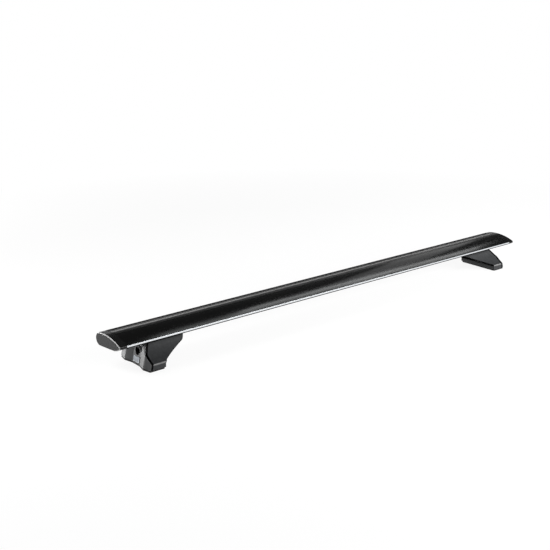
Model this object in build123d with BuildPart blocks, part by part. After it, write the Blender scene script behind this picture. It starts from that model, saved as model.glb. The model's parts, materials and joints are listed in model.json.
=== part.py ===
"""Roof rack crossbar: a hollow wing bar on two lockable feet.

The origin is on the ground under the middle of the bar. X runs along the bar, the bar's thin nose
faces -Y, and Z is up. Every piece of a foot is drawn for the right foot, at +X, and mirrored.
"""

from build123d import *
from math import cos, radians, sin, tan
import os

# Bar section, in millimetres
bar_length = 1080.0
bar_chord = 82.0
bar_front = 35.5
bar_base_height = 38.1
crest_y = 12.2
rear_radius = 12.5
underside_slope = 5.4
underside_front = 10.0
nose_height = 4.2
nose_drop = 9.7
nose_round = 1.7
bar_wall = 2.2

# Slots in the bar
top_slot_y = 12.5
slot_mouth = 10.4
slot_width = 21.0
slot_depth = 5.0
lip_thickness = 2.4
strip_width = 14.0
strip_seat_depth = 1.4
strip_crown = 0.5
strip_stem_depth = 5.6
strip_barb = 0.9
strip_barb_height = 1.6

# End caps
cap_length = 15.5
cap_edge = 1.5
spigot_depth = 12.0

# Foot outline
fixing_spacing = 946.0
base_in = 17.2
base_out = 20.7
base_depth = 99.0
band_height = 13.9
band_round = 3.0
top_half_width = 17.1
top_edge_height = 42.3
flank_hollow = 2.7
arm_reach = 76.0
arm_tip_set = 4.4
arm_tip_height = 33.6
arm_tip_round = 12.5
arch_height = 12.6
arch_round = 7.5
sill_height = 11.0
foot_wall = 2.6
rim_round = 1.2

# Outboard face of the foot
cover_lean = 6.4
kink_height = 26.0
upper_lean = 36.0
valley_depth = 4.5
valley_half_width = 12.0
crest_half_span = 31.0
corner_drop = 4.0
crest_round = 4.0
valley_round = 8.0
cover_thickness = 2.4
cover_seam = 2.6
cover_lip_depth = 5.0
cover_lip_wall = 1.8

# Pads and bracket
base_pad_thickness = 3.0
base_pad_inset = 0.8
base_pad_round = 5.0
floor_thickness = 3.0
seat_pad_thickness = 1.2
seat_pad_inset = 2.0
plate_thickness = 3.0
flange_half_width = 22.0
flange_out = 9.0
upright_half_width = 11.0
upright_set = 14.4
saddle_length = 38.0
fixing_hole_radius = 4.3

# Clamp bolt and slot nut
bolt_radius = 3.0
bolt_setback = 28.0
bolt_head_radius = 5.0
bolt_head_height = 6.0
hex_socket_across = 5.0
hex_socket_depth = 3.0
washer_radius = 7.0
washer_thickness = 1.6
nut_length = 44.0
nut_thickness = 4.2

# Lock
lock_height = 25.2
keyhole_radius = 7.4
boss_radius = 10.2
boss_face_out = 10.2
boss_length = 14.4
boss_front_wall = 3.0
boss_edge = 0.8
barrel_radius = 8.4
barrel_length = 12.8
plug_radius = 5.2
plug_recess = 1.5
key_slot_width = 1.6
key_slot_height = 7.0
key_slot_depth = 3.5
cam_thickness = 2.2
cam_width = 8.0
cam_reach = 14.0
cam_screw_radius = 1.5
cam_screw_length = 6.0
cam_screw_head_radius = 2.8
cam_screw_head_height = 1.8
catch_gap = 1.5
catch_thickness = 2.5
catch_half_height = 7.0
catch_edge = 0.8

# Clearances
slide_gap = 0.3
seat_gap = 0.05
insert_gap = 0.25
lip_gap = 0.4
running_gap = 0.05

# Places worked out from the sizes above
half_bar = bar_length / 2
extrusion_half = half_bar - cap_length
foot_x = fixing_spacing / 2
lean_angle = radians(underside_slope)
rear_y = bar_chord - bar_front - rear_radius
rear_z = bar_base_height + rear_radius
crown_radius = ((crest_y + bar_front) ** 2 + nose_drop**2) / (2 * nose_drop)
crown_reach = crown_radius - rear_radius
rear_drop = crown_radius - (crown_reach**2 - (rear_y - crest_y) ** 2) ** 0.5
bar_top = rear_z + rear_drop
bar_thickness = bar_top - bar_base_height
crown_centre = Vector(crest_y, bar_top - crown_radius)
crown_end = crown_centre + (Vector(rear_y, rear_z) - crown_centre) * (crown_radius / crown_reach)
heel = (rear_y - rear_radius * sin(lean_angle), rear_z - rear_radius * cos(lean_angle))
underside_height = heel[1] + heel[0] * tan(lean_angle)
underside_end = (-underside_front, underside_height + underside_front * tan(lean_angle))
nose_top = (-bar_front, bar_top - nose_drop)
nose_low = (-bar_front, nose_top[1] - nose_height)


def crown_z(y):
    """Height of the bar's top face at y."""
    return bar_top - crown_radius + (crown_radius**2 - (crest_y - y) ** 2) ** 0.5


strip_floor = crown_z(top_slot_y - strip_width / 2) - strip_seat_depth
top_lip_low = strip_floor - lip_thickness
top_slot_floor = top_lip_low - slot_depth
low_lip_top = underside_height + lip_thickness
low_slot_ceiling = low_lip_top + slot_depth
channel_half = slot_width / 2 + bar_wall
half_base = base_depth / 2
base_inner = foot_x - base_in
base_outer = foot_x + base_out
body_low = base_pad_thickness
bay_floor = body_low + floor_thickness
bay_ceiling = underside_height - seat_pad_thickness - top_half_width * tan(lean_angle) - foot_wall
saddle_low = bay_ceiling - plate_thickness
bolt_x = foot_x - bolt_setback
hollow_end = foot_x - arm_reach + arm_tip_set + arm_tip_round
boss_face = foot_x + boss_face_out
barrel_front = boss_face - boss_front_wall
barrel_back = barrel_front - barrel_length
cam_back = barrel_back - running_gap - cam_thickness
plug_front = barrel_front - plug_recess
upright_x = foot_x - upright_set
saddle_end = upright_x + plate_thickness - saddle_length
lip_low = bay_floor + plate_thickness + slide_gap
head_top = saddle_low - washer_thickness
nut_low = low_lip_top + seat_gap
bolt_end = nut_low + nut_thickness + slide_gap
seat_pad_length = arm_reach - arm_tip_set
seat_pad_x = foot_x - seat_pad_length / 2
above_bar = bar_top + bar_thickness
lean_rate = cover_lean / kink_height

# The bar's underside is flat and leans: this plane lies on it, X along the bar and Z away from the foot.
underside = Plane(
    origin=(0, 0, underside_height), x_dir=(1, 0, 0), z_dir=(0, sin(lean_angle), cos(lean_angle))
)
foot_top = underside.offset(-seat_pad_thickness - seat_gap)


def save(piece, name):
    """Label a finished piece and write its file."""
    piece.part.label = name
    export_step(piece.part, f"parts/{name}.step")


# Outline of the wing section, nose at -Y
with BuildSketch(Plane.YZ) as wing_outline:
    with BuildLine():
        Line(nose_low, nose_top)
        ThreePointArc(nose_top, (crest_y, bar_top), crown_end)
        ThreePointArc(crown_end, (rear_y + rear_radius, rear_z), heel)
        Line(heel, underside_end)
        TangentArc(underside_end, nose_low, tangent=(-cos(lean_angle), sin(lean_angle)))
    make_face()
    fillet(wing_outline.vertices().group_by(Axis.X)[0], nose_round)

# Bar extrusion: hollow, with a T-slot in the crown and one in the underside
with BuildPart() as bar_extrusion:
    with BuildSketch(Plane.YZ):
        add(wing_outline.sketch_local)
        offset(wing_outline.sketch_local, amount=-bar_wall, kind=Kind.INTERSECTION, mode=Mode.SUBTRACT)
        with Locations((top_slot_y, top_slot_floor - bar_wall)):
            Rectangle(2 * channel_half, bar_thickness, align=(Align.CENTER, Align.MIN))
        with Locations((0, low_slot_ceiling + bar_wall)):
            Rectangle(2 * channel_half, bar_thickness, align=(Align.CENTER, Align.MAX))
        add(wing_outline.sketch_local, mode=Mode.INTERSECT)
        with Locations((top_slot_y, top_slot_floor)):
            Rectangle(slot_width, slot_depth, align=(Align.CENTER, Align.MIN), mode=Mode.SUBTRACT)
            Rectangle(slot_mouth, bar_thickness, align=(Align.CENTER, Align.MIN), mode=Mode.SUBTRACT)
        with Locations((top_slot_y, strip_floor)):
            Rectangle(
                strip_width + 2 * insert_gap,
                bar_thickness,
                align=(Align.CENTER, Align.MIN),
                mode=Mode.SUBTRACT,
            )
        with Locations((0, low_slot_ceiling)):
            Rectangle(slot_width, slot_depth, align=(Align.CENTER, Align.MAX), mode=Mode.SUBTRACT)
            Rectangle(slot_mouth, bar_thickness, align=(Align.CENTER, Align.MAX), mode=Mode.SUBTRACT)
    extrude(amount=extrusion_half, both=True)
save(bar_extrusion, "bar_extrusion")

# Slot strip: a crowned rubber cap on a barbed stem
with BuildPart() as slot_strip:
    strip_front = top_slot_y - strip_width / 2
    strip_rear = top_slot_y + strip_width / 2
    stem_low = strip_floor - strip_stem_depth
    with BuildSketch(Plane.YZ):
        with BuildLine():
            Polyline(
                (strip_front, crown_z(strip_front)),
                (strip_front, strip_floor),
                (strip_rear, strip_floor),
                (strip_rear, crown_z(strip_rear)),
            )
            ThreePointArc(
                (strip_rear, crown_z(strip_rear)),
                (top_slot_y, crown_z(top_slot_y) + strip_crown),
                (strip_front, crown_z(strip_front)),
            )
        make_face()
        with Locations((top_slot_y, strip_floor)):
            Rectangle(slot_mouth - 2 * insert_gap, strip_stem_depth, align=(Align.CENTER, Align.MAX))
        with Locations((top_slot_y, stem_low)):
            Rectangle(slot_mouth + 2 * strip_barb, strip_barb_height, align=(Align.CENTER, Align.MIN))
    extrude(amount=extrusion_half - insert_gap, both=True)
save(slot_strip, "slot_strip")

# Right end cap: the wing section closed off, with two spigots that plug the bar's chambers
with BuildPart() as right_end_cap:
    with BuildSketch(Plane.YZ.offset(extrusion_half)):
        add(wing_outline.sketch_local)
    extrude(amount=cap_length)
    chamfer(right_end_cap.faces().sort_by(Axis.X)[-1].edges(), cap_edge)
    with BuildSketch(Plane.YZ.offset(extrusion_half)):
        offset(wing_outline.sketch_local, amount=-bar_wall - insert_gap, kind=Kind.INTERSECTION)
        with Locations((top_slot_y / 2, rear_z)):
            Rectangle(
                2 * (channel_half + insert_gap) + top_slot_y, 2 * bar_thickness, mode=Mode.SUBTRACT
            )
    extrude(amount=-spigot_depth)
save(right_end_cap, "right_end_cap")


def flank_prism(inset):
    """The foot seen along the bar: a bell outline, drawn in by inset, run through the whole foot."""
    top_point = Vector(top_half_width, top_edge_height)
    band_point = Vector(half_base, band_height)
    chord = band_point - top_point
    hollow_point = (top_point + band_point) / 2 + Vector(chord.Y, -chord.X).normalized() * flank_hollow
    with BuildPart() as prism:
        with BuildSketch(Plane.YZ.offset(foot_x - 2 * arm_reach)) as bell:
            with BuildLine():
                Polyline((0, 0), (half_base, 0), band_point)
                ThreePointArc(band_point, hollow_point, top_point)
                Polyline(top_point, (top_half_width, above_bar), (0, above_bar))
                mirror(about=Plane.YZ)
            make_face()
            fillet(bell.vertices().group_by(Axis.Y)[1], band_round)
            if inset:
                offset(amount=-inset, kind=Kind.INTERSECTION)
        extrude(amount=4 * arm_reach)
    return prism.part


def arm_prism(inset):
    """The foot seen along Y: a short base that arches out into the arm under the bar, open outboard."""
    tip_x = foot_x - arm_reach
    far_x = foot_x + arm_reach
    tip_rate = arm_tip_set / (underside_height - arm_tip_height)
    high_x = tip_x - tip_rate * (above_bar - underside_height)
    with BuildPart() as prism:
        with BuildSketch(Plane.XZ):
            with BuildLine():
                FilletPolyline(
                    (base_inner, -arm_reach),
                    (base_inner, arch_height),
                    (tip_x + arm_tip_set, arm_tip_height),
                    (high_x, above_bar),
                    radius=[arch_round, arm_tip_round],
                )
                Polyline(
                    (high_x, above_bar),
                    (far_x, above_bar),
                    (far_x, -arm_reach),
                    (base_inner, -arm_reach),
                )
            make_face()
            if inset:
                offset(amount=-inset, kind=Kind.INTERSECTION, mode=Mode.REPLACE)
        extrude(amount=base_depth, both=True)
    return prism.part


def outboard_block(inset):
    """Everything inboard of the foot's leaning, hollowed outer face, with that face moved in by inset."""
    face_x = base_outer - inset
    crest_x = face_x + lean_rate * above_bar
    corner_x = crest_x - corner_drop
    valley_x = crest_x - valley_depth
    far_x = foot_x - 2 * arm_reach
    with BuildPart() as block:
        with BuildSketch(Plane.XY.offset(-above_bar)):
            with BuildLine():
                FilletPolyline(
                    (corner_x, -half_base),
                    (crest_x, -crest_half_span),
                    (valley_x, -valley_half_width),
                    (valley_x, valley_half_width),
                    (crest_x, crest_half_span),
                    (corner_x, half_base),
                    radius=[crest_round, valley_round, valley_round, crest_round],
                )
                Polyline(
                    (corner_x, half_base),
                    (corner_x, base_depth),
                    (far_x, base_depth),
                    (far_x, -base_depth),
                    (corner_x, -base_depth),
                    (corner_x, -half_base),
                )
            make_face()
        extrude(amount=2 * above_bar, dir=(-lean_rate, 0, 1))
        kink = Plane(
            origin=(face_x - cover_lean, 0, kink_height),
            z_dir=(cos(radians(upper_lean)), 0, sin(radians(upper_lean))),
        )
        split(bisect_by=kink, keep=Keep.BOTTOM)
    return block.part


def foot_bay(inset):
    """The room inside the foot, drawn in by inset from the inner walls, open outboard."""
    sides = flank_prism(foot_wall + inset)
    ends = arm_prism(foot_wall + inset)
    with BuildPart() as bay:
        add(sides)
        add(ends, mode=Mode.INTERSECT)
        split(bisect_by=Plane.XY.offset(bay_floor + inset), keep=Keep.TOP)
        split(bisect_by=Plane.XY.offset(bay_ceiling - inset), keep=Keep.BOTTOM)
    return bay.part


flanks = flank_prism(0)
arm = arm_prism(0)
outer_face = outboard_block(0)
cover_back = outboard_block(cover_thickness)
body_face = outboard_block(cover_thickness + cover_seam)
lip_end = outboard_block(cover_thickness + cover_lip_depth)
bay_walls = foot_bay(0)
inner_flanks = flank_prism(foot_wall)
lip_outside = foot_bay(lip_gap)
lip_inside = foot_bay(lip_gap + cover_lip_wall)
sole_face = outboard_block(base_pad_inset)

# The arm is open underneath, from its tip to the sill of the base, so a key reaches the clamp bolt
with BuildPart() as arm_hollow_block:
    with Locations((hollow_end, 0, sill_height)):
        Box(
            base_inner + foot_wall - hollow_end,
            base_depth,
            bay_ceiling - sill_height,
            align=(Align.MIN, Align.CENTER, Align.MIN),
        )
    add(inner_flanks, mode=Mode.INTERSECT)
arm_hollow = arm_hollow_block.part

# The cover's outer skin, cut to the foot's outline
with BuildPart() as cover_skin:
    add(outer_face)
    add(cover_back, mode=Mode.SUBTRACT)
    add(flanks, mode=Mode.INTERSECT)
    split(bisect_by=foot_top, keep=Keep.BOTTOM)
    split(bisect_by=Plane.XY.offset(body_low + slide_gap), keep=Keep.TOP)

# Right foot body: a hollow moulded tower, open outboard, with a catch for the lock's cam
with BuildPart() as right_foot_body:
    add(flanks)
    add(arm, mode=Mode.INTERSECT)
    rim = right_foot_body.edges().filter_by(lambda e: max(abs((e % 0.5).X), abs((e % 0.5).Y)) < 0.999)
    fillet(rim, rim_round)
    split(bisect_by=Plane.XY.offset(body_low), keep=Keep.TOP)
    add(body_face, mode=Mode.INTERSECT)
    split(bisect_by=foot_top, keep=Keep.BOTTOM)
    add(bay_walls, mode=Mode.SUBTRACT)
    add(arm_hollow, mode=Mode.SUBTRACT)
    with BuildSketch(Plane.YZ.offset(cam_back + cam_thickness + catch_gap)):
        with Locations((boss_radius + catch_edge, lock_height)):
            Rectangle(base_depth, 2 * catch_half_height, align=(Align.MIN, Align.CENTER))
    extrude(amount=catch_thickness)
    add(flanks, mode=Mode.INTERSECT)
    with Locations((cam_back, 0, lock_height)):
        Box(
            base_in + base_out,
            2 * (boss_radius + lip_gap),
            2 * (boss_radius + lip_gap),
            align=(Align.MIN, Align.CENTER, Align.CENTER),
            mode=Mode.SUBTRACT,
        )
    with Locations((foot_x, 0, body_low)):
        Cylinder(fixing_hole_radius, 2 * floor_thickness, mode=Mode.SUBTRACT)
    with Locations((bolt_x, 0, bay_ceiling)):
        Cylinder(bolt_radius + slide_gap, bar_thickness, mode=Mode.SUBTRACT)
save(right_foot_body, "right_foot_body")

# Right outer cover: a shell with a hollowed face, a lip that enters the body and a boss for the lock
with BuildPart() as right_outer_cover:
    add(lip_outside)
    add(lip_inside, mode=Mode.SUBTRACT)
    add(cover_back, mode=Mode.INTERSECT)
    add(lip_end, mode=Mode.SUBTRACT)
    split(bisect_by=Plane.XY.offset(lip_low), keep=Keep.TOP)
    with Locations(Plane((boss_face, 0, lock_height), x_dir=(0, 1, 0), z_dir=(-1, 0, 0))):
        Cylinder(boss_radius, boss_length, align=(Align.CENTER, Align.CENTER, Align.MIN))
    fillet(right_outer_cover.edges().group_by(Axis.X)[-1], boss_edge)
    add(cover_skin.part)
    with Locations(Plane((boss_face, 0, lock_height), x_dir=(0, 1, 0), z_dir=(-1, 0, 0))):
        Cylinder(
            keyhole_radius,
            boss_length,
            align=(Align.CENTER, Align.CENTER, Align.MIN),
            mode=Mode.SUBTRACT,
        )
    with Locations(Plane((barrel_front, 0, lock_height), x_dir=(0, 1, 0), z_dir=(-1, 0, 0))):
        Cylinder(
            barrel_radius + running_gap,
            boss_length,
            align=(Align.CENTER, Align.CENTER, Align.MIN),
            mode=Mode.SUBTRACT,
        )
save(right_outer_cover, "right_outer_cover")

# Right base pad: a rubber sole under the foot
with BuildPart() as right_base_pad:
    with BuildSketch():
        with Locations(((base_inner + base_outer) / 2, 0)):
            RectangleRounded(
                base_in + base_out - 2 * base_pad_inset,
                base_depth - 2 * base_pad_inset,
                base_pad_round,
            )
        with Locations((foot_x, 0)):
            Circle(fixing_hole_radius, mode=Mode.SUBTRACT)
    extrude(amount=base_pad_thickness)
    add(sole_face, mode=Mode.INTERSECT)
save(right_base_pad, "right_base_pad")

# Right seat pad: a rubber sheet between the foot and the bar
with BuildPart() as right_seat_pad:
    with BuildSketch(underside.offset(-seat_pad_thickness - seat_gap)):
        with Locations((seat_pad_x, 0)):
            RectangleRounded(seat_pad_length, 2 * (top_half_width - seat_pad_inset), seat_pad_inset)
        with Locations((bolt_x, 0)):
            Circle(bolt_radius + insert_gap, mode=Mode.SUBTRACT)
    extrude(amount=seat_pad_thickness)
    with Locations((bolt_x, 0, underside_height)):
        Cylinder(bolt_radius + insert_gap, bar_thickness, mode=Mode.SUBTRACT)
save(right_seat_pad, "right_seat_pad")

# Right mount bracket: bent steel that joins the roof fixing to the clamp
with BuildPart() as right_mount_bracket:
    with BuildSketch(Plane.XZ):
        with BuildLine():
            Polyline(
                (upright_x, bay_floor),
                (foot_x + flange_out, bay_floor),
                (foot_x + flange_out, bay_floor + plate_thickness),
                (upright_x + plate_thickness, bay_floor + plate_thickness),
                (upright_x + plate_thickness, bay_ceiling),
                (saddle_end, bay_ceiling),
                (saddle_end, saddle_low),
                (upright_x, saddle_low),
                close=True,
            )
        make_face()
    extrude(amount=upright_half_width, both=True)
    with Locations((upright_x, 0, bay_floor)):
        Box(
            foot_x + flange_out - upright_x,
            2 * flange_half_width,
            plate_thickness,
            align=(Align.MIN, Align.CENTER, Align.MIN),
        )
    with Locations((foot_x, 0, bay_floor)):
        Cylinder(fixing_hole_radius, 3 * plate_thickness, mode=Mode.SUBTRACT)
    with Locations((bolt_x, 0, bay_ceiling)):
        Cylinder(bolt_radius + insert_gap, 3 * plate_thickness, mode=Mode.SUBTRACT)
save(right_mount_bracket, "right_mount_bracket")

# Right clamp washer, under the saddle
with BuildPart() as right_clamp_washer:
    with Locations((bolt_x, 0, saddle_low)):
        Cylinder(washer_radius, washer_thickness, align=(Align.CENTER, Align.CENTER, Align.MAX))
        Cylinder(bolt_radius + insert_gap, 3 * washer_thickness, mode=Mode.SUBTRACT)
save(right_clamp_washer, "right_clamp_washer")

# Right clamp bolt: its socket head faces down, its thread ends in the slot nut
with BuildPart() as right_clamp_bolt:
    with Locations((bolt_x, 0, head_top)):
        Cylinder(bolt_head_radius, bolt_head_height, align=(Align.CENTER, Align.CENTER, Align.MAX))
        Cylinder(bolt_radius, bolt_end - head_top, align=(Align.CENTER, Align.CENTER, Align.MIN))
    with BuildSketch(Plane.XY.offset(head_top - bolt_head_height)):
        with Locations((bolt_x, 0)):
            RegularPolygon(hex_socket_across / 2, 6, major_radius=False)
    extrude(amount=hex_socket_depth, mode=Mode.SUBTRACT)
save(right_clamp_bolt, "right_clamp_bolt")

# Right slot nut: a plate that pulls up against the lips of the lower slot
with BuildPart() as right_slot_nut:
    with Locations((bolt_x, 0, nut_low)):
        Box(
            nut_length,
            slot_width - 2 * slide_gap,
            nut_thickness,
            align=(Align.CENTER, Align.CENTER, Align.MIN),
        )
        Cylinder(bolt_radius + running_gap, 3 * nut_thickness, mode=Mode.SUBTRACT)
save(right_slot_nut, "right_slot_nut")

# Right lock barrel, held behind the keyhole
with BuildPart() as right_lock_barrel:
    with BuildSketch(Plane.YZ.offset(barrel_back)):
        with Locations((0, lock_height)):
            Circle(barrel_radius)
            Circle(plug_radius + running_gap, mode=Mode.SUBTRACT)
    extrude(amount=barrel_length - running_gap)
save(right_lock_barrel, "right_lock_barrel")

# Right lock plug, turned by the key
with BuildPart() as right_lock_plug:
    with BuildSketch(Plane.YZ.offset(barrel_back - running_gap)):
        with Locations((0, lock_height)):
            Circle(plug_radius)
    extrude(amount=plug_front - barrel_back + running_gap)
    with BuildSketch(Plane.YZ.offset(plug_front)):
        with Locations((0, lock_height)):
            Rectangle(key_slot_width, key_slot_height)
    extrude(amount=-key_slot_depth, mode=Mode.SUBTRACT)
    with BuildSketch(Plane.YZ.offset(barrel_back - running_gap)):
        with Locations((0, lock_height)):
            Circle(cam_screw_radius + running_gap)
    extrude(amount=cam_screw_length - cam_thickness, mode=Mode.SUBTRACT)
save(right_lock_plug, "right_lock_plug")

# Right lock cam: hangs down when open, swings behind the catch when locked
with BuildPart() as right_lock_cam:
    with BuildSketch(Plane.YZ.offset(cam_back)):
        with Locations((0, lock_height)):
            Circle(cam_width / 2)
        with Locations((0, lock_height - cam_reach + cam_width / 2)):
            Circle(cam_width / 2)
        with Locations((0, lock_height)):
            Rectangle(cam_width, cam_reach - cam_width / 2, align=(Align.CENTER, Align.MAX))
            Circle(cam_screw_radius + running_gap, mode=Mode.SUBTRACT)
    extrude(amount=cam_thickness)
save(right_lock_cam, "right_lock_cam")

# Right cam screw
with BuildPart() as right_cam_screw:
    with BuildSketch(Plane.YZ.offset(cam_back)):
        with Locations((0, lock_height)):
            Circle(cam_screw_radius)
    extrude(amount=cam_screw_length - running_gap)
    with BuildSketch(Plane.YZ.offset(cam_back)):
        with Locations((0, lock_height)):
            Circle(cam_screw_head_radius)
    extrude(amount=-cam_screw_head_height)
save(right_cam_screw, "right_cam_screw")

# The left-hand pieces mirror the right-hand ones
with BuildPart() as left_end_cap:
    mirror(right_end_cap.part, about=Plane.YZ)
save(left_end_cap, "left_end_cap")

with BuildPart() as left_foot_body:
    mirror(right_foot_body.part, about=Plane.YZ)
save(left_foot_body, "left_foot_body")

with BuildPart() as left_outer_cover:
    mirror(right_outer_cover.part, about=Plane.YZ)
save(left_outer_cover, "left_outer_cover")

with BuildPart() as left_base_pad:
    mirror(right_base_pad.part, about=Plane.YZ)
save(left_base_pad, "left_base_pad")

with BuildPart() as left_seat_pad:
    mirror(right_seat_pad.part, about=Plane.YZ)
save(left_seat_pad, "left_seat_pad")

with BuildPart() as left_mount_bracket:
    mirror(right_mount_bracket.part, about=Plane.YZ)
save(left_mount_bracket, "left_mount_bracket")

with BuildPart() as left_clamp_washer:
    mirror(right_clamp_washer.part, about=Plane.YZ)
save(left_clamp_washer, "left_clamp_washer")

with BuildPart() as left_clamp_bolt:
    mirror(right_clamp_bolt.part, about=Plane.YZ)
save(left_clamp_bolt, "left_clamp_bolt")

with BuildPart() as left_slot_nut:
    mirror(right_slot_nut.part, about=Plane.YZ)
save(left_slot_nut, "left_slot_nut")

with BuildPart() as left_lock_barrel:
    mirror(right_lock_barrel.part, about=Plane.YZ)
save(left_lock_barrel, "left_lock_barrel")

with BuildPart() as left_lock_plug:
    mirror(right_lock_plug.part, about=Plane.YZ)
save(left_lock_plug, "left_lock_plug")

with BuildPart() as left_lock_cam:
    mirror(right_lock_cam.part, about=Plane.YZ)
save(left_lock_cam, "left_lock_cam")

with BuildPart() as left_cam_screw:
    mirror(right_cam_screw.part, about=Plane.YZ)
save(left_cam_screw, "left_cam_screw")
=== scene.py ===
"""Looks of a roof rack crossbar: finishes for its bar and feet, and the bare plates on its covers."""
import json
import math

import bmesh
import bpy
from mathutils import Matrix, Vector


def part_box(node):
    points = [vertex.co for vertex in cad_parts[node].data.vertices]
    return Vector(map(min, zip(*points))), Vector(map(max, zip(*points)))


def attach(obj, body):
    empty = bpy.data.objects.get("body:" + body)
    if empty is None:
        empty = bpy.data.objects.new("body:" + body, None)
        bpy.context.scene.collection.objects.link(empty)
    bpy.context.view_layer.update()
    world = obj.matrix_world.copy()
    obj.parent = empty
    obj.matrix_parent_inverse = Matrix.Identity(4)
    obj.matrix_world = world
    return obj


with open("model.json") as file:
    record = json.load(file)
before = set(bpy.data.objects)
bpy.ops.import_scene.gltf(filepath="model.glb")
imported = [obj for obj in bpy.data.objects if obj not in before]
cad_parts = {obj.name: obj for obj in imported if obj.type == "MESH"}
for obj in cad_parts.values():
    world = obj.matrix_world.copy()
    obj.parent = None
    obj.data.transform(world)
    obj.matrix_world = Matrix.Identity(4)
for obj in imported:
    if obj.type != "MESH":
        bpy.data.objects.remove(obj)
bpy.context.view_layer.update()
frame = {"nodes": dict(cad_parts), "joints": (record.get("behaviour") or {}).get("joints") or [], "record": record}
nodes = frame["nodes"]

MM = 0.001
SIDES = {"left": -1, "right": 1}


def recorded_place(entries, name):
    """Where a named mount or joint of the part is, in millimetres."""
    return [metres / MM for metres in next(entry["pos_m"] for entry in entries if entry["name"] == name)]


# Sizes and places on the part are in millimetres. A mask's pair says where it starts and where it is full,
# or, where a soft edge is named beside it, the lower and upper limit of a band.

# Bar: bright-cut face on the nose, with painted shade (a darker metal) at its top and a matte edge below it; matte
# rear round
NOSE_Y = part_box("bar_extrusion")[0][1] / MM
NOSE_LOW = 52.4
NOSE_TOP = 55.0
CUT_Y = (NOSE_Y + 0.75, NOSE_Y + 0.45)
CUT_EDGE = 0.25
CUT_SHADE = (NOSE_TOP - 0.6, NOSE_TOP)
UNDER_Y = (NOSE_Y + 9.0, NOSE_Y + 6.0)
UNDER_Z = (NOSE_LOW - 0.1, NOSE_LOW - 0.4)
REAR_ROUND = (23.5, 30.5)
MATTE_SHARE = 0.95

# Slot strip and end caps: the caps' masks are counted inward from the end of the bar
STRIP_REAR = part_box("slot_strip")[1][1] / MM
# The strip's rear lip carries a painted highlight, a pale band
STRIP_HIGHLIGHT = (STRIP_REAR - 7.5, STRIP_REAR - 2.5)
RIB_PITCH = 1.496
BAR_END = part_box("right_end_cap")[1][0] / MM
CAP_FACE = (0.12, 0.06)
CAP_EDGE = 1.5
CAP_BEVEL = (CAP_EDGE + 0.1, CAP_EDGE - 0.1)

# Foot: places outboard of its roof bolt hole. The arch under the arm runs from its corner to the arm's tip,
# each given outboard and up, and the rim is counted up from it.
FOOT_X = recorded_place(frame["record"]["mounts"], "right_roof_bolt_hole")[0]
BASE_FRONT = -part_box("right_foot_body")[0][1] / MM
BAND_TOP = 13.9
# The base's crease and the sill's top edge carry a painted highlight
CREASE_Y = (BASE_FRONT - 2.5, BASE_FRONT - 0.9)
CREASE_Z = (BAND_TOP - 2.0, BAND_TOP - 0.4)
CREASE_EDGE = 0.9
ARCH_CORNER = (-17.2, 12.6)
ARM_TIP = (-71.6, 33.6)
ARM_OUT = (-16.5, -18.5)
ARM_RIM = (2.4, 1.8)
SILL_OUT = (-17.5, -16.8)
SILL_OUT_EDGE = 0.2
SILL_Z = (9.7, 11.0)
SILL_Z_EDGE = 0.4
SILL_HIGHLIGHT = 0.5

# Cover: a leaning outer face with a valley between two crests, corners turned back and a kink above,
# and the depth behind that face at which its skin ends
CREST_OUT = 20.7
CREST_Y = 31.0
VALLEY_Y = 12.0
VALLEY_DEPTH = 4.5
CORNER_DROP = 4.0
FACE_LEAN = 0.246
KINK_OUT = 14.3
KINK_Z = 26.0
UPPER_LEAN = 0.727
SKIN = (0.35, 0.6)

# Lock: the height of the key's axis and radii about it
LOCK_HEIGHT = recorded_place(frame["joints"], "right_lock_turn")[2]
KEYHOLE = 7.4
KEYHOLE_WALL = (KEYHOLE + 0.25, KEYHOLE + 0.1)
BARREL_RING = (6.3, 6.7)
RING_PITCH = 0.449

# A Mix node's sockets for colours, by number because their names repeat: three inputs and the output
MIX_SHARE = 0
MIX_LOW = 6
MIX_HIGH = 7
MIX_COLOUR = 2


class Value:
    """A shader socket that takes part in sums: an expression adds its own Math nodes."""

    def __init__(self, finish, socket):
        self.finish = finish
        self.socket = socket

    def math(self, operation, *others):
        inputs = dict(enumerate((self, *others)))
        return self.finish.node("ShaderNodeMath", {"operation": operation}, inputs)

    def flipped(self, operation, other):
        return self.finish.node("ShaderNodeMath", {"operation": operation}, {0: other, 1: self})

    def __add__(self, other):
        return self.math("ADD", other)

    def __sub__(self, other):
        return self.math("SUBTRACT", other)

    def __mul__(self, other):
        return self.math("MULTIPLY", other)

    def __radd__(self, other):
        return self.flipped("ADD", other)

    def __rsub__(self, other):
        return self.flipped("SUBTRACT", other)

    def __rmul__(self, other):
        return self.flipped("MULTIPLY", other)

    def abs(self):
        return self.math("ABSOLUTE")

    def larger(self, other):
        return self.math("MAXIMUM", other)

    def smaller(self, other):
        return self.math("MINIMUM", other)

    def radius(self, other):
        """Distance from an axis, where this and the other are the two offsets from it."""
        return (self * self + other * other).math("SQRT")

    def wave(self, pitch):
        """A sine with that distance from crest to crest."""
        return (self * (math.tau / pitch)).math("SINE")

    def ramp(self, low, high):
        """0 at low, 1 at high, straight between and level beyond; low may be the larger."""
        inputs = {"Value": self, "From Min": low, "From Max": high}
        return self.finish.node("ShaderNodeMapRange", {"clamp": True}, inputs)

    def within(self, low, high, edge):
        """1 between low and high, falling to 0 over edge on either side."""
        return self.ramp(low - edge, low) * self.ramp(high + edge, high)


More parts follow.
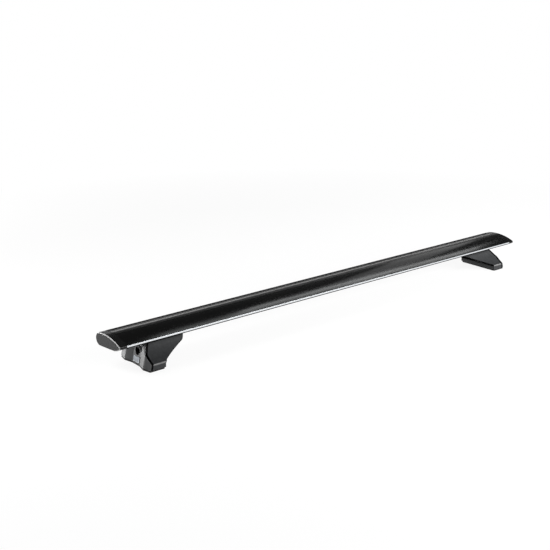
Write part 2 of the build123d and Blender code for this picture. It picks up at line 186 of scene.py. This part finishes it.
class Finish:
    """One material. Plain numbers go straight on its shader; what varies is linked with vary()."""

    def __init__(self, name, **plain):
        self.material = bpy.data.materials.new(name)
        self.material.use_nodes = True
        self.tree = self.material.node_tree
        self.shader = self.tree.nodes["Principled BSDF"]
        for socket, value in plain.items():
            self.shader.inputs[socket.replace("_", " ")].default_value = value
        self.base = Value(self, self.shader.outputs[0])
        self.where = self.node("ShaderNodeTexCoord", output="Object")

    def node(self, kind, settings=None, inputs=None, output=0):
        """A node of that kind, its settings made first, then its sockets filled; gives one output."""
        node = self.tree.nodes.new(kind)
        for name, value in (settings or {}).items():
            setattr(node, name, value)
        for name, value in (inputs or {}).items():
            if isinstance(value, Value):
                self.tree.links.new(value.socket, node.inputs[name])
            else:
                node.inputs[name].default_value = value
        return Value(self, node.outputs[output])

    def vary(self, **varying):
        """Link what changes over the surface to the plain shader."""
        for name, value in varying.items():
            self.tree.links.new(value.socket, self.shader.inputs[name.replace("_", " ")])

    def mix(self, share, first, second):
        """A shader between two others, by share."""
        return self.node("ShaderNodeMixShader", inputs={0: share, 1: first, 2: second})

    def surface(self, mixed):
        """Show a mixed shader in place of the plain one."""
        self.tree.links.new(mixed.socket, self.tree.nodes["Material Output"].inputs["Surface"])

    def dull(self, share, colour):
        """Give way to a matte colour with no gloss at all, by share."""
        matte = self.node("ShaderNodeBsdfDiffuse", inputs={"Color": colour})
        self.surface(self.mix(share, self.base, matte))

    def axes(self, letters):
        """Those axes of Object coordinates, in millimetres."""
        inputs = {0: self.where, "Scale": 1 / MM}
        scaled = self.node("ShaderNodeVectorMath", {"operation": "SCALE"}, inputs)
        return [self.node("ShaderNodeSeparateXYZ", inputs={0: scaled}, output=letter) for letter in letters]

    def noise(self, scale, stretch=(1, 1, 1), detail=2.0):
        """Soft noise about 0.5, with that many features to the metre along an unstretched axis."""
        inputs = {0: self.where, 1: stretch}
        place = self.node("ShaderNodeVectorMath", {"operation": "MULTIPLY"}, inputs)
        inputs = {"Vector": place, "Scale": scale, "Detail": detail}
        return self.node("ShaderNodeTexNoise", inputs=inputs, output="Fac")

    def grain(self, cells):
        """Moulded pebble grain, that many cells to the metre, about 1 on the crowns."""
        inputs = {"Vector": self.where, "Scale": cells}
        return 1 - self.node("ShaderNodeTexVoronoi", {"feature": "SMOOTH_F1"}, inputs, "Distance")

    def tint(self, share, low, high):
        """A colour from low to high, by share."""
        inputs = {MIX_SHARE: share, MIX_LOW: low, MIX_HIGH: high}
        return self.node("ShaderNodeMix", {"data_type": "RGBA"}, inputs, MIX_COLOUR)

    def relief(self, height, strength, depth):
        """A bump of that depth, in millimetres."""
        inputs = {"Height": height, "Strength": strength, "Distance": depth * MM}
        return self.node("ShaderNodeBump", inputs=inputs)


def grey(level, warmth=0.0):
    """A grey of that level, redder by its warmth, or bluer where that is below 0."""
    return (level * (1 + warmth), level, level * (1 - warmth), 1.0)


def dress(finish, *names):
    """Give those solids of the part that finish alone."""
    for name in names:
        nodes[name].data.materials.clear()
        nodes[name].data.materials.append(finish.material)


def both(*names):
    """The names of those solids on either side."""
    return [f"{side}_{name}" for side in SIDES for name in names]


def black_anodised():
    """Satin black with faint lines along the bar and a bright-cut nose, darker at its top as painted shade; matte
    behind and below.
    """
    finish = Finish("black_anodised", Specular_IOR_Level=0.30, Specular_Tint=(0.95, 0.99, 1.0, 1.0))
    y, z = finish.axes("YZ")
    lines = finish.noise(scale=900.0, stretch=(0.004, 1, 1), detail=3.0)
    cloud = finish.noise(scale=14.0)
    cut = y.ramp(*CUT_Y) * z.within(NOSE_LOW, NOSE_TOP, CUT_EDGE)
    rear = y.ramp(*REAR_ROUND)
    under = y.ramp(*UNDER_Y) * z.ramp(*UNDER_Z)
    black = finish.tint(cloud, grey(0.003), grey(0.006))
    silver = finish.tint(lines, (0.74, 0.77, 0.79, 1), (0.84, 0.86, 0.88, 1))
    # Painted shade: the top of the bright cut is darkened to a dull grey metal
    bright = finish.tint(z.ramp(*CUT_SHADE), silver, grey(0.30, -0.03))
    finish.vary(
        Base_Color=finish.tint(cut, black, bright),
        Metallic=cut,
        Roughness=0.13 + 0.08 * lines + 0.35 * rear,
        Normal=finish.relief(lines, strength=0.2, depth=0.03),
    )
    finish.dull(MATTE_SHARE * rear.larger(under), grey(0.012))
    return finish


def slot_rubber():
    """Matte black rubber with fine ribs along the strip and a painted highlight along its rear lip."""
    finish = Finish("slot_rubber", Specular_IOR_Level=0.24)
    [y] = finish.axes("Y")
    dust = finish.noise(scale=60.0, stretch=(0.05, 1, 1), detail=3.0)
    black = finish.tint(dust, grey(0.008), grey(0.014))
    finish.vary(
        # Painted highlight: pale along the strip's rear lip
        Base_Color=finish.tint(y.ramp(*STRIP_HIGHLIGHT), black, grey(0.27)),
        Roughness=0.32 + 0.15 * dust,
        Normal=finish.relief(y.wave(RIB_PITCH), strength=0.3, depth=0.06),
    )
    return finish


def cap_plastic():
    """Black plastic; its pebbled end face is a lighter charcoal than the sides as painted light, with a painted
    highlight on the bevel round it.
    """
    finish = Finish("cap_plastic", Specular_IOR_Level=0.2)
    [x] = finish.axes("X")
    pebbles = finish.grain(cells=1900.0)
    cloud = finish.noise(scale=45.0)
    inward = BAR_END - x.abs()
    face = inward.ramp(*CAP_FACE)
    bevel = inward.ramp(*CAP_BEVEL) - face
    side = finish.tint(cloud, grey(0.006), grey(0.011))
    face_grain_and_light = finish.tint(pebbles * cloud, grey(0.012), grey(0.026))
    bevel_highlight = finish.tint(cloud, grey(0.52), grey(0.62))
    finish.vary(
        # Painted light: the end face is lighter than the sides, and the bevel is painted pale as a highlight
        Base_Color=finish.tint(bevel, finish.tint(face, side, face_grain_and_light), bevel_highlight),
        Roughness=0.16 + 0.08 * cloud + 0.30 * face + 0.25 * bevel,
        Normal=finish.relief(pebbles * face, strength=0.35, depth=0.05),
    )
    return finish


def foot_plastic():
    """Dark moulded plastic with pebble grain, a painted highlight on the base's crease and sill, and painted
    shade, black, on the arm's rim.
    """
    finish = Finish("foot_plastic", Specular_IOR_Level=0.28)
    x, y, z = finish.axes("XYZ")
    pebbles = finish.grain(cells=1500.0)
    cloud = finish.noise(scale=30.0, detail=3.0)
    scuff = finish.noise(scale=160.0, detail=4.0)
    out = x.abs() - FOOT_X
    slope = (ARM_TIP[1] - ARCH_CORNER[1]) / (ARM_TIP[0] - ARCH_CORNER[0])
    above_arch = z - ARCH_CORNER[1] - slope * (out - ARCH_CORNER[0])
    rim = above_arch.ramp(*ARM_RIM) * out.ramp(*ARM_OUT)
    crease = z.within(*CREASE_Z, CREASE_EDGE) * y.abs().ramp(*CREASE_Y)
    sill = z.within(*SILL_Z, SILL_Z_EDGE) * out.within(*SILL_OUT, SILL_OUT_EDGE)
    body = finish.tint(pebbles * scuff, grey(0.018, -0.05), grey(0.066, -0.05))
    # Painted highlight: pale along the base's crease and the sill's top edge
    edge_highlight = finish.tint(scuff, grey(0.08), grey(0.30))
    finish.vary(
        Base_Color=finish.tint(crease.larger(SILL_HIGHLIGHT * sill), body, edge_highlight),
        Roughness=0.50 + 0.14 * cloud,
        Normal=finish.relief(pebbles, strength=0.35, depth=0.06),
    )
    # Painted shade: the arm's rim is made black and matte
    finish.dull(rim, grey(0.004))
    return finish


def cover_plastic():
    """Mid grey satin plastic with a very fine grain; painted shade, black and matte, where it turns in behind its
    outer face and in the keyhole's bore.
    """
    finish = Finish("cover_plastic", Specular_IOR_Level=0.32)
    x, y, z = finish.axes("XYZ")
    pebbles = finish.grain(cells=2600.0)
    cloud = finish.noise(scale=38.0, detail=3.0)
    across = y.abs()
    valley = across.ramp(CREST_Y, VALLEY_Y) * VALLEY_DEPTH
    corner = across.ramp(CREST_Y, BASE_FRONT) * CORNER_DROP
    lower_face = CREST_OUT - FACE_LEAN * z - (valley + corner)
    upper_face = KINK_OUT - UPPER_LEAN * (z - KINK_Z)
    depth = lower_face.smaller(upper_face) - (x.abs() - FOOT_X)
    keyhole = y.radius(z - LOCK_HEIGHT).ramp(*KEYHOLE_WALL)
    finish.vary(
        Base_Color=finish.tint(cloud, grey(0.10, -0.02), grey(0.135, -0.02)),
        Roughness=0.40 + 0.12 * cloud,
        Normal=finish.relief(pebbles, strength=0.2, depth=0.03),
    )
    # Painted shade: black and matte on the skin turned in at the seam and in the keyhole's bore
    finish.dull(depth.ramp(*SKIN).larger(keyhole), grey(0.003))
    return finish


def pad_rubber():
    """Soft black rubber with a dusty bloom."""
    finish = Finish("pad_rubber", Specular_IOR_Level=0.25)
    bloom = finish.noise(scale=90.0, detail=4.0)
    finish.vary(
        Base_Color=finish.tint(bloom, grey(0.012), grey(0.026)),
        Roughness=0.62 + 0.2 * bloom,
        Normal=finish.relief(bloom, strength=0.3, depth=0.08),
    )
    return finish


def zinc_steel():
    """Zinc plating with a cloudy spangle, darkened to near black as painted shade in the foot's hollow."""
    finish = Finish("zinc_steel", Metallic=1.0)
    spangle = finish.noise(scale=220.0, detail=3.0)
    finish.vary(
        # Painted shade: the plating's colour is near black
        Base_Color=finish.tint(spangle, (0.022, 0.022, 0.024, 1), (0.06, 0.06, 0.063, 1)),
        Roughness=0.28 + 0.22 * spangle,
        Normal=finish.relief(spangle, strength=0.2, depth=0.03),
    )
    return finish


def lock_metal():
    """Lock metal turned in rings about the key's axis: grey on the barrel's outer ring, painted shade, black and
    matte, inside it.
    """
    finish = Finish("lock_metal", Metallic=0.2, Specular_IOR_Level=0.2)
    y, z = finish.axes("YZ")
    radius = y.radius(z - LOCK_HEIGHT)
    rings = radius.wave(RING_PITCH) * 0.5 + 0.5
    scuff = finish.noise(scale=400.0, detail=3.0)
    finish.vary(
        Base_Color=finish.tint(scuff, grey(0.08), grey(0.13)),
        Roughness=0.34 + 0.14 * scuff + 0.06 * rings,
        Normal=finish.relief(rings, strength=0.25, depth=0.02),
    )
    # Painted shade: black and matte inside the barrel's outer ring, in the recess
    finish.dull(1 - radius.ramp(*BARREL_RING), grey(0.004))
    return finish


def plate_enamel():
    """Pale blue-grey enamel of the bare plate."""
    finish = Finish("plate_enamel", Coat_Weight=0.3)
    mottle = finish.noise(scale=700.0, detail=3.0)
    finish.vary(
        Base_Color=finish.tint(mottle, (0.42, 0.47, 0.54, 1), (0.52, 0.57, 0.63, 1)),
        Roughness=0.30 + 0.12 * mottle,
        Normal=finish.relief(mottle, strength=0.15, depth=0.02),
    )
    return finish


FITTINGS = ("mount_bracket", "clamp_bolt", "clamp_washer", "slot_nut", "lock_cam", "cam_screw")
dress(black_anodised(), "bar_extrusion")
dress(slot_rubber(), "slot_strip")
dress(cap_plastic(), *both("end_cap"))
dress(foot_plastic(), *both("foot_body"))
dress(cover_plastic(), *both("outer_cover"))
dress(pad_rubber(), *both("base_pad", "seat_pad"))
dress(zinc_steel(), *both(*FITTINGS))
dress(lock_metal(), *both("lock_barrel", "lock_plug"))


def show(name, mesh, finish):
    """Close a bmesh into an object of that name."""
    data = bpy.data.meshes.new(name)
    mesh.to_mesh(data)
    mesh.free()
    data.materials.append(finish.material)
    item = bpy.data.objects.new(name, data)
    bpy.context.scene.collection.objects.link(item)
    return item


def round_edges(mesh, edges, radius, steps):
    """Round those edges to a radius, in steps."""
    bmesh.ops.bevel(
        mesh, geom=edges, offset=radius, segments=steps, affect="EDGES", profile=0.5, material=-1
    )


# The bare plate below each lock: a shallow tray with a raised rim, laid on the cover's leaning valley
PLATE_WIDTH = 19.0
PLATE_HEIGHT = 10.0
PLATE_THICKNESS = 1.0
PLATE_SINK = 0.3
PLATE_CORNER = 1.6
PLATE_RIM = 0.9
PLATE_RIM_ROUND = 0.18
PLATE_DISH = 0.3
PLATE_CENTRE_Z = 9.8
SAME_LEVEL = 0.01


def bare_plate(name, hand, finish):
    """One side's plate, made facing outboard on the right; a hand of -1 mirrors it to the left."""
    half = PLATE_THICKNESS / 2
    mesh = bmesh.new()
    bmesh.ops.create_cube(mesh, size=1.0)
    bmesh.ops.scale(mesh, vec=(PLATE_THICKNESS, PLATE_WIDTH, PLATE_HEIGHT), verts=mesh.verts)
    corners = [e for e in mesh.edges if abs(e.verts[0].co.x - e.verts[1].co.x) > half]
    round_edges(mesh, corners, PLATE_CORNER, steps=5)
    front = max(mesh.faces, key=lambda face: face.calc_center_median().x)
    bmesh.ops.inset_region(mesh, faces=[front], thickness=PLATE_RIM)
    bmesh.ops.translate(mesh, vec=(-PLATE_DISH, 0, 0), verts=front.verts)
    rim = [e for e in mesh.edges if min(v.co.x for v in e.verts) > half - SAME_LEVEL]
    round_edges(mesh, rim, PLATE_RIM_ROUND, steps=2)
    bmesh.ops.translate(mesh, vec=(half - PLATE_SINK, 0, 0), verts=mesh.verts)
    lean = Matrix.Rotation(-math.atan(FACE_LEAN), 3, "Y")
    bmesh.ops.rotate(mesh, cent=(0, 0, 0), matrix=lean, verts=mesh.verts)
    face_x = FOOT_X + CREST_OUT - VALLEY_DEPTH - FACE_LEAN * PLATE_CENTRE_Z
    bmesh.ops.translate(mesh, vec=(face_x, 0, PLATE_CENTRE_Z), verts=mesh.verts)
    bmesh.ops.scale(mesh, vec=(hand * MM, MM, MM), verts=mesh.verts)
    bmesh.ops.recalc_face_normals(mesh, faces=mesh.faces)
    return show(name, mesh, finish)


enamel = plate_enamel()
for side, hand in SIDES.items():
    plate = bare_plate(f"{side}_bare_plate", hand, enamel)
    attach(plate, f"{side}_cover")

# Studio floor: it keeps the bar's shadow and fades to plain white over FLOOR_WHITE, in millimetres from the
# middle. Its reach and the height of its turned-up ends are in metres.
FLOOR_WHITE = (900.0, 1500.0)
FLOOR_GLOW = 0.90
FLOOR_SHADE = 0.14
FLOOR_REACH = 30.0
BACKDROP = 3.2


def floor_white():
    """Pale paint for the light it throws back; white with a soft shadow where it is seen or mirrored."""
    finish = Finish("floor_white", Base_Color=grey(0.82), Roughness=0.9, Specular_IOR_Level=0.0)
    x, y = finish.axes("XY")
    seen, mirrored, through = [
        finish.node("ShaderNodeLightPath", output=f"Is {ray} Ray")
        for ray in ("Camera", "Glossy", "Transmission")
    ]
    glow = finish.node("ShaderNodeEmission", inputs={"Color": grey(1.0), "Strength": FLOOR_GLOW})
    shade = finish.node("ShaderNodeBsdfDiffuse", inputs={"Color": grey(FLOOR_SHADE)})
    near = finish.node("ShaderNodeAddShader", inputs={0: glow, 1: shade})
    white = finish.node("ShaderNodeEmission", inputs={"Color": grey(1.0), "Strength": 1.0})
    pale = finish.mix(x.radius(y).ramp(*FLOOR_WHITE), near, white)
    finish.surface(finish.mix(seen.larger(mirrored).larger(through), finish.base, pale))
    return finish


floor_mesh = bmesh.new()
bmesh.ops.create_grid(floor_mesh, x_segments=1, y_segments=1, size=FLOOR_REACH)
walls = bmesh.ops.extrude_edge_only(floor_mesh, edges=floor_mesh.edges[:])["geom"]
rising = [part for part in walls if isinstance(part, bmesh.types.BMVert)]
bmesh.ops.translate(floor_mesh, vec=(0, 0, BACKDROP), verts=rising)
floor = show("floor", floor_mesh, floor_white())

# Light: a weak even sky, a low panel behind the left foot, soft panels round the bar and strips over it
SKY = 0.04
world = bpy.data.worlds.new("studio")
bpy.context.scene.world = world
world.use_nodes = True
sky = world.node_tree.nodes["Background"]
sky.inputs["Color"].default_value = grey(1.0)
sky.inputs["Strength"].default_value = SKY


def lamp(name, place, aim, width, height, watts):
    """A soft rectangular lamp at that place, in metres, turned to its aim."""
    light = bpy.data.lights.new(name, "AREA")
    light.shape = "RECTANGLE"
    light.size = width
    light.size_y = height
    light.energy = watts
    item = bpy.data.objects.new(name, light)
    item.location = place
    item.rotation_euler = (Vector(aim) - Vector(place)).to_track_quat("-Z", "Y").to_euler()
    bpy.context.scene.collection.objects.link(item)


lamp("low_panel", (-0.92, 1.70, 0.075), (-0.48, 0, 0.03), width=1.0, height=0.13, watts=36)
lamp("upper_left_panel", (-0.98, 0.36, 0.68), (-0.54, 0, 0.05), width=0.5, height=0.5, watts=5)
lamp("overhead_strip", (0.94, 0.413, 0.88), (0.94, -0.03, 0.06), width=1.12, height=0.08, watts=1.3)
lamp("near_strip", (0.20, 0.32, 0.88), (0.20, -0.03, 0.06), width=0.34, height=0.10, watts=0.3)
lamp("rear_right_panel", (1.06, 0.60, 0.68), (0.27, 0, 0.06), width=0.26, height=0.8, watts=0.34)
lamp("horizon_panel", (2.34, 2.94, 1.18), (0, 0, 1.18), width=2.6, height=0.6, watts=5.2)
lamp("front_right_panel", (0.8, -1.3, 0.7), (0.2, 0, 0.05), width=1.2, height=0.8, watts=38)

# Camera: at the photograph's angle, in metres and degrees, fitted to the bar's edges there
CAMERA_PLACE = (-1.2979, -1.3764, 0.6645)
CAMERA_TILT = 72.5
CAMERA_TURN = -39.4
LENS = 62.57
SENSOR = 36.0
camera_data = bpy.data.cameras.new("camera")
camera_data.sensor_width = SENSOR
camera_data.lens = LENS
camera = bpy.data.objects.new("camera", camera_data)
camera.location = CAMERA_PLACE
camera.rotation_euler = (math.radians(CAMERA_TILT), 0, math.radians(CAMERA_TURN))
bpy.context.scene.collection.objects.link(camera)
bpy.context.scene.camera = camera

bpy.context.scene.view_settings.view_transform = "Standard"
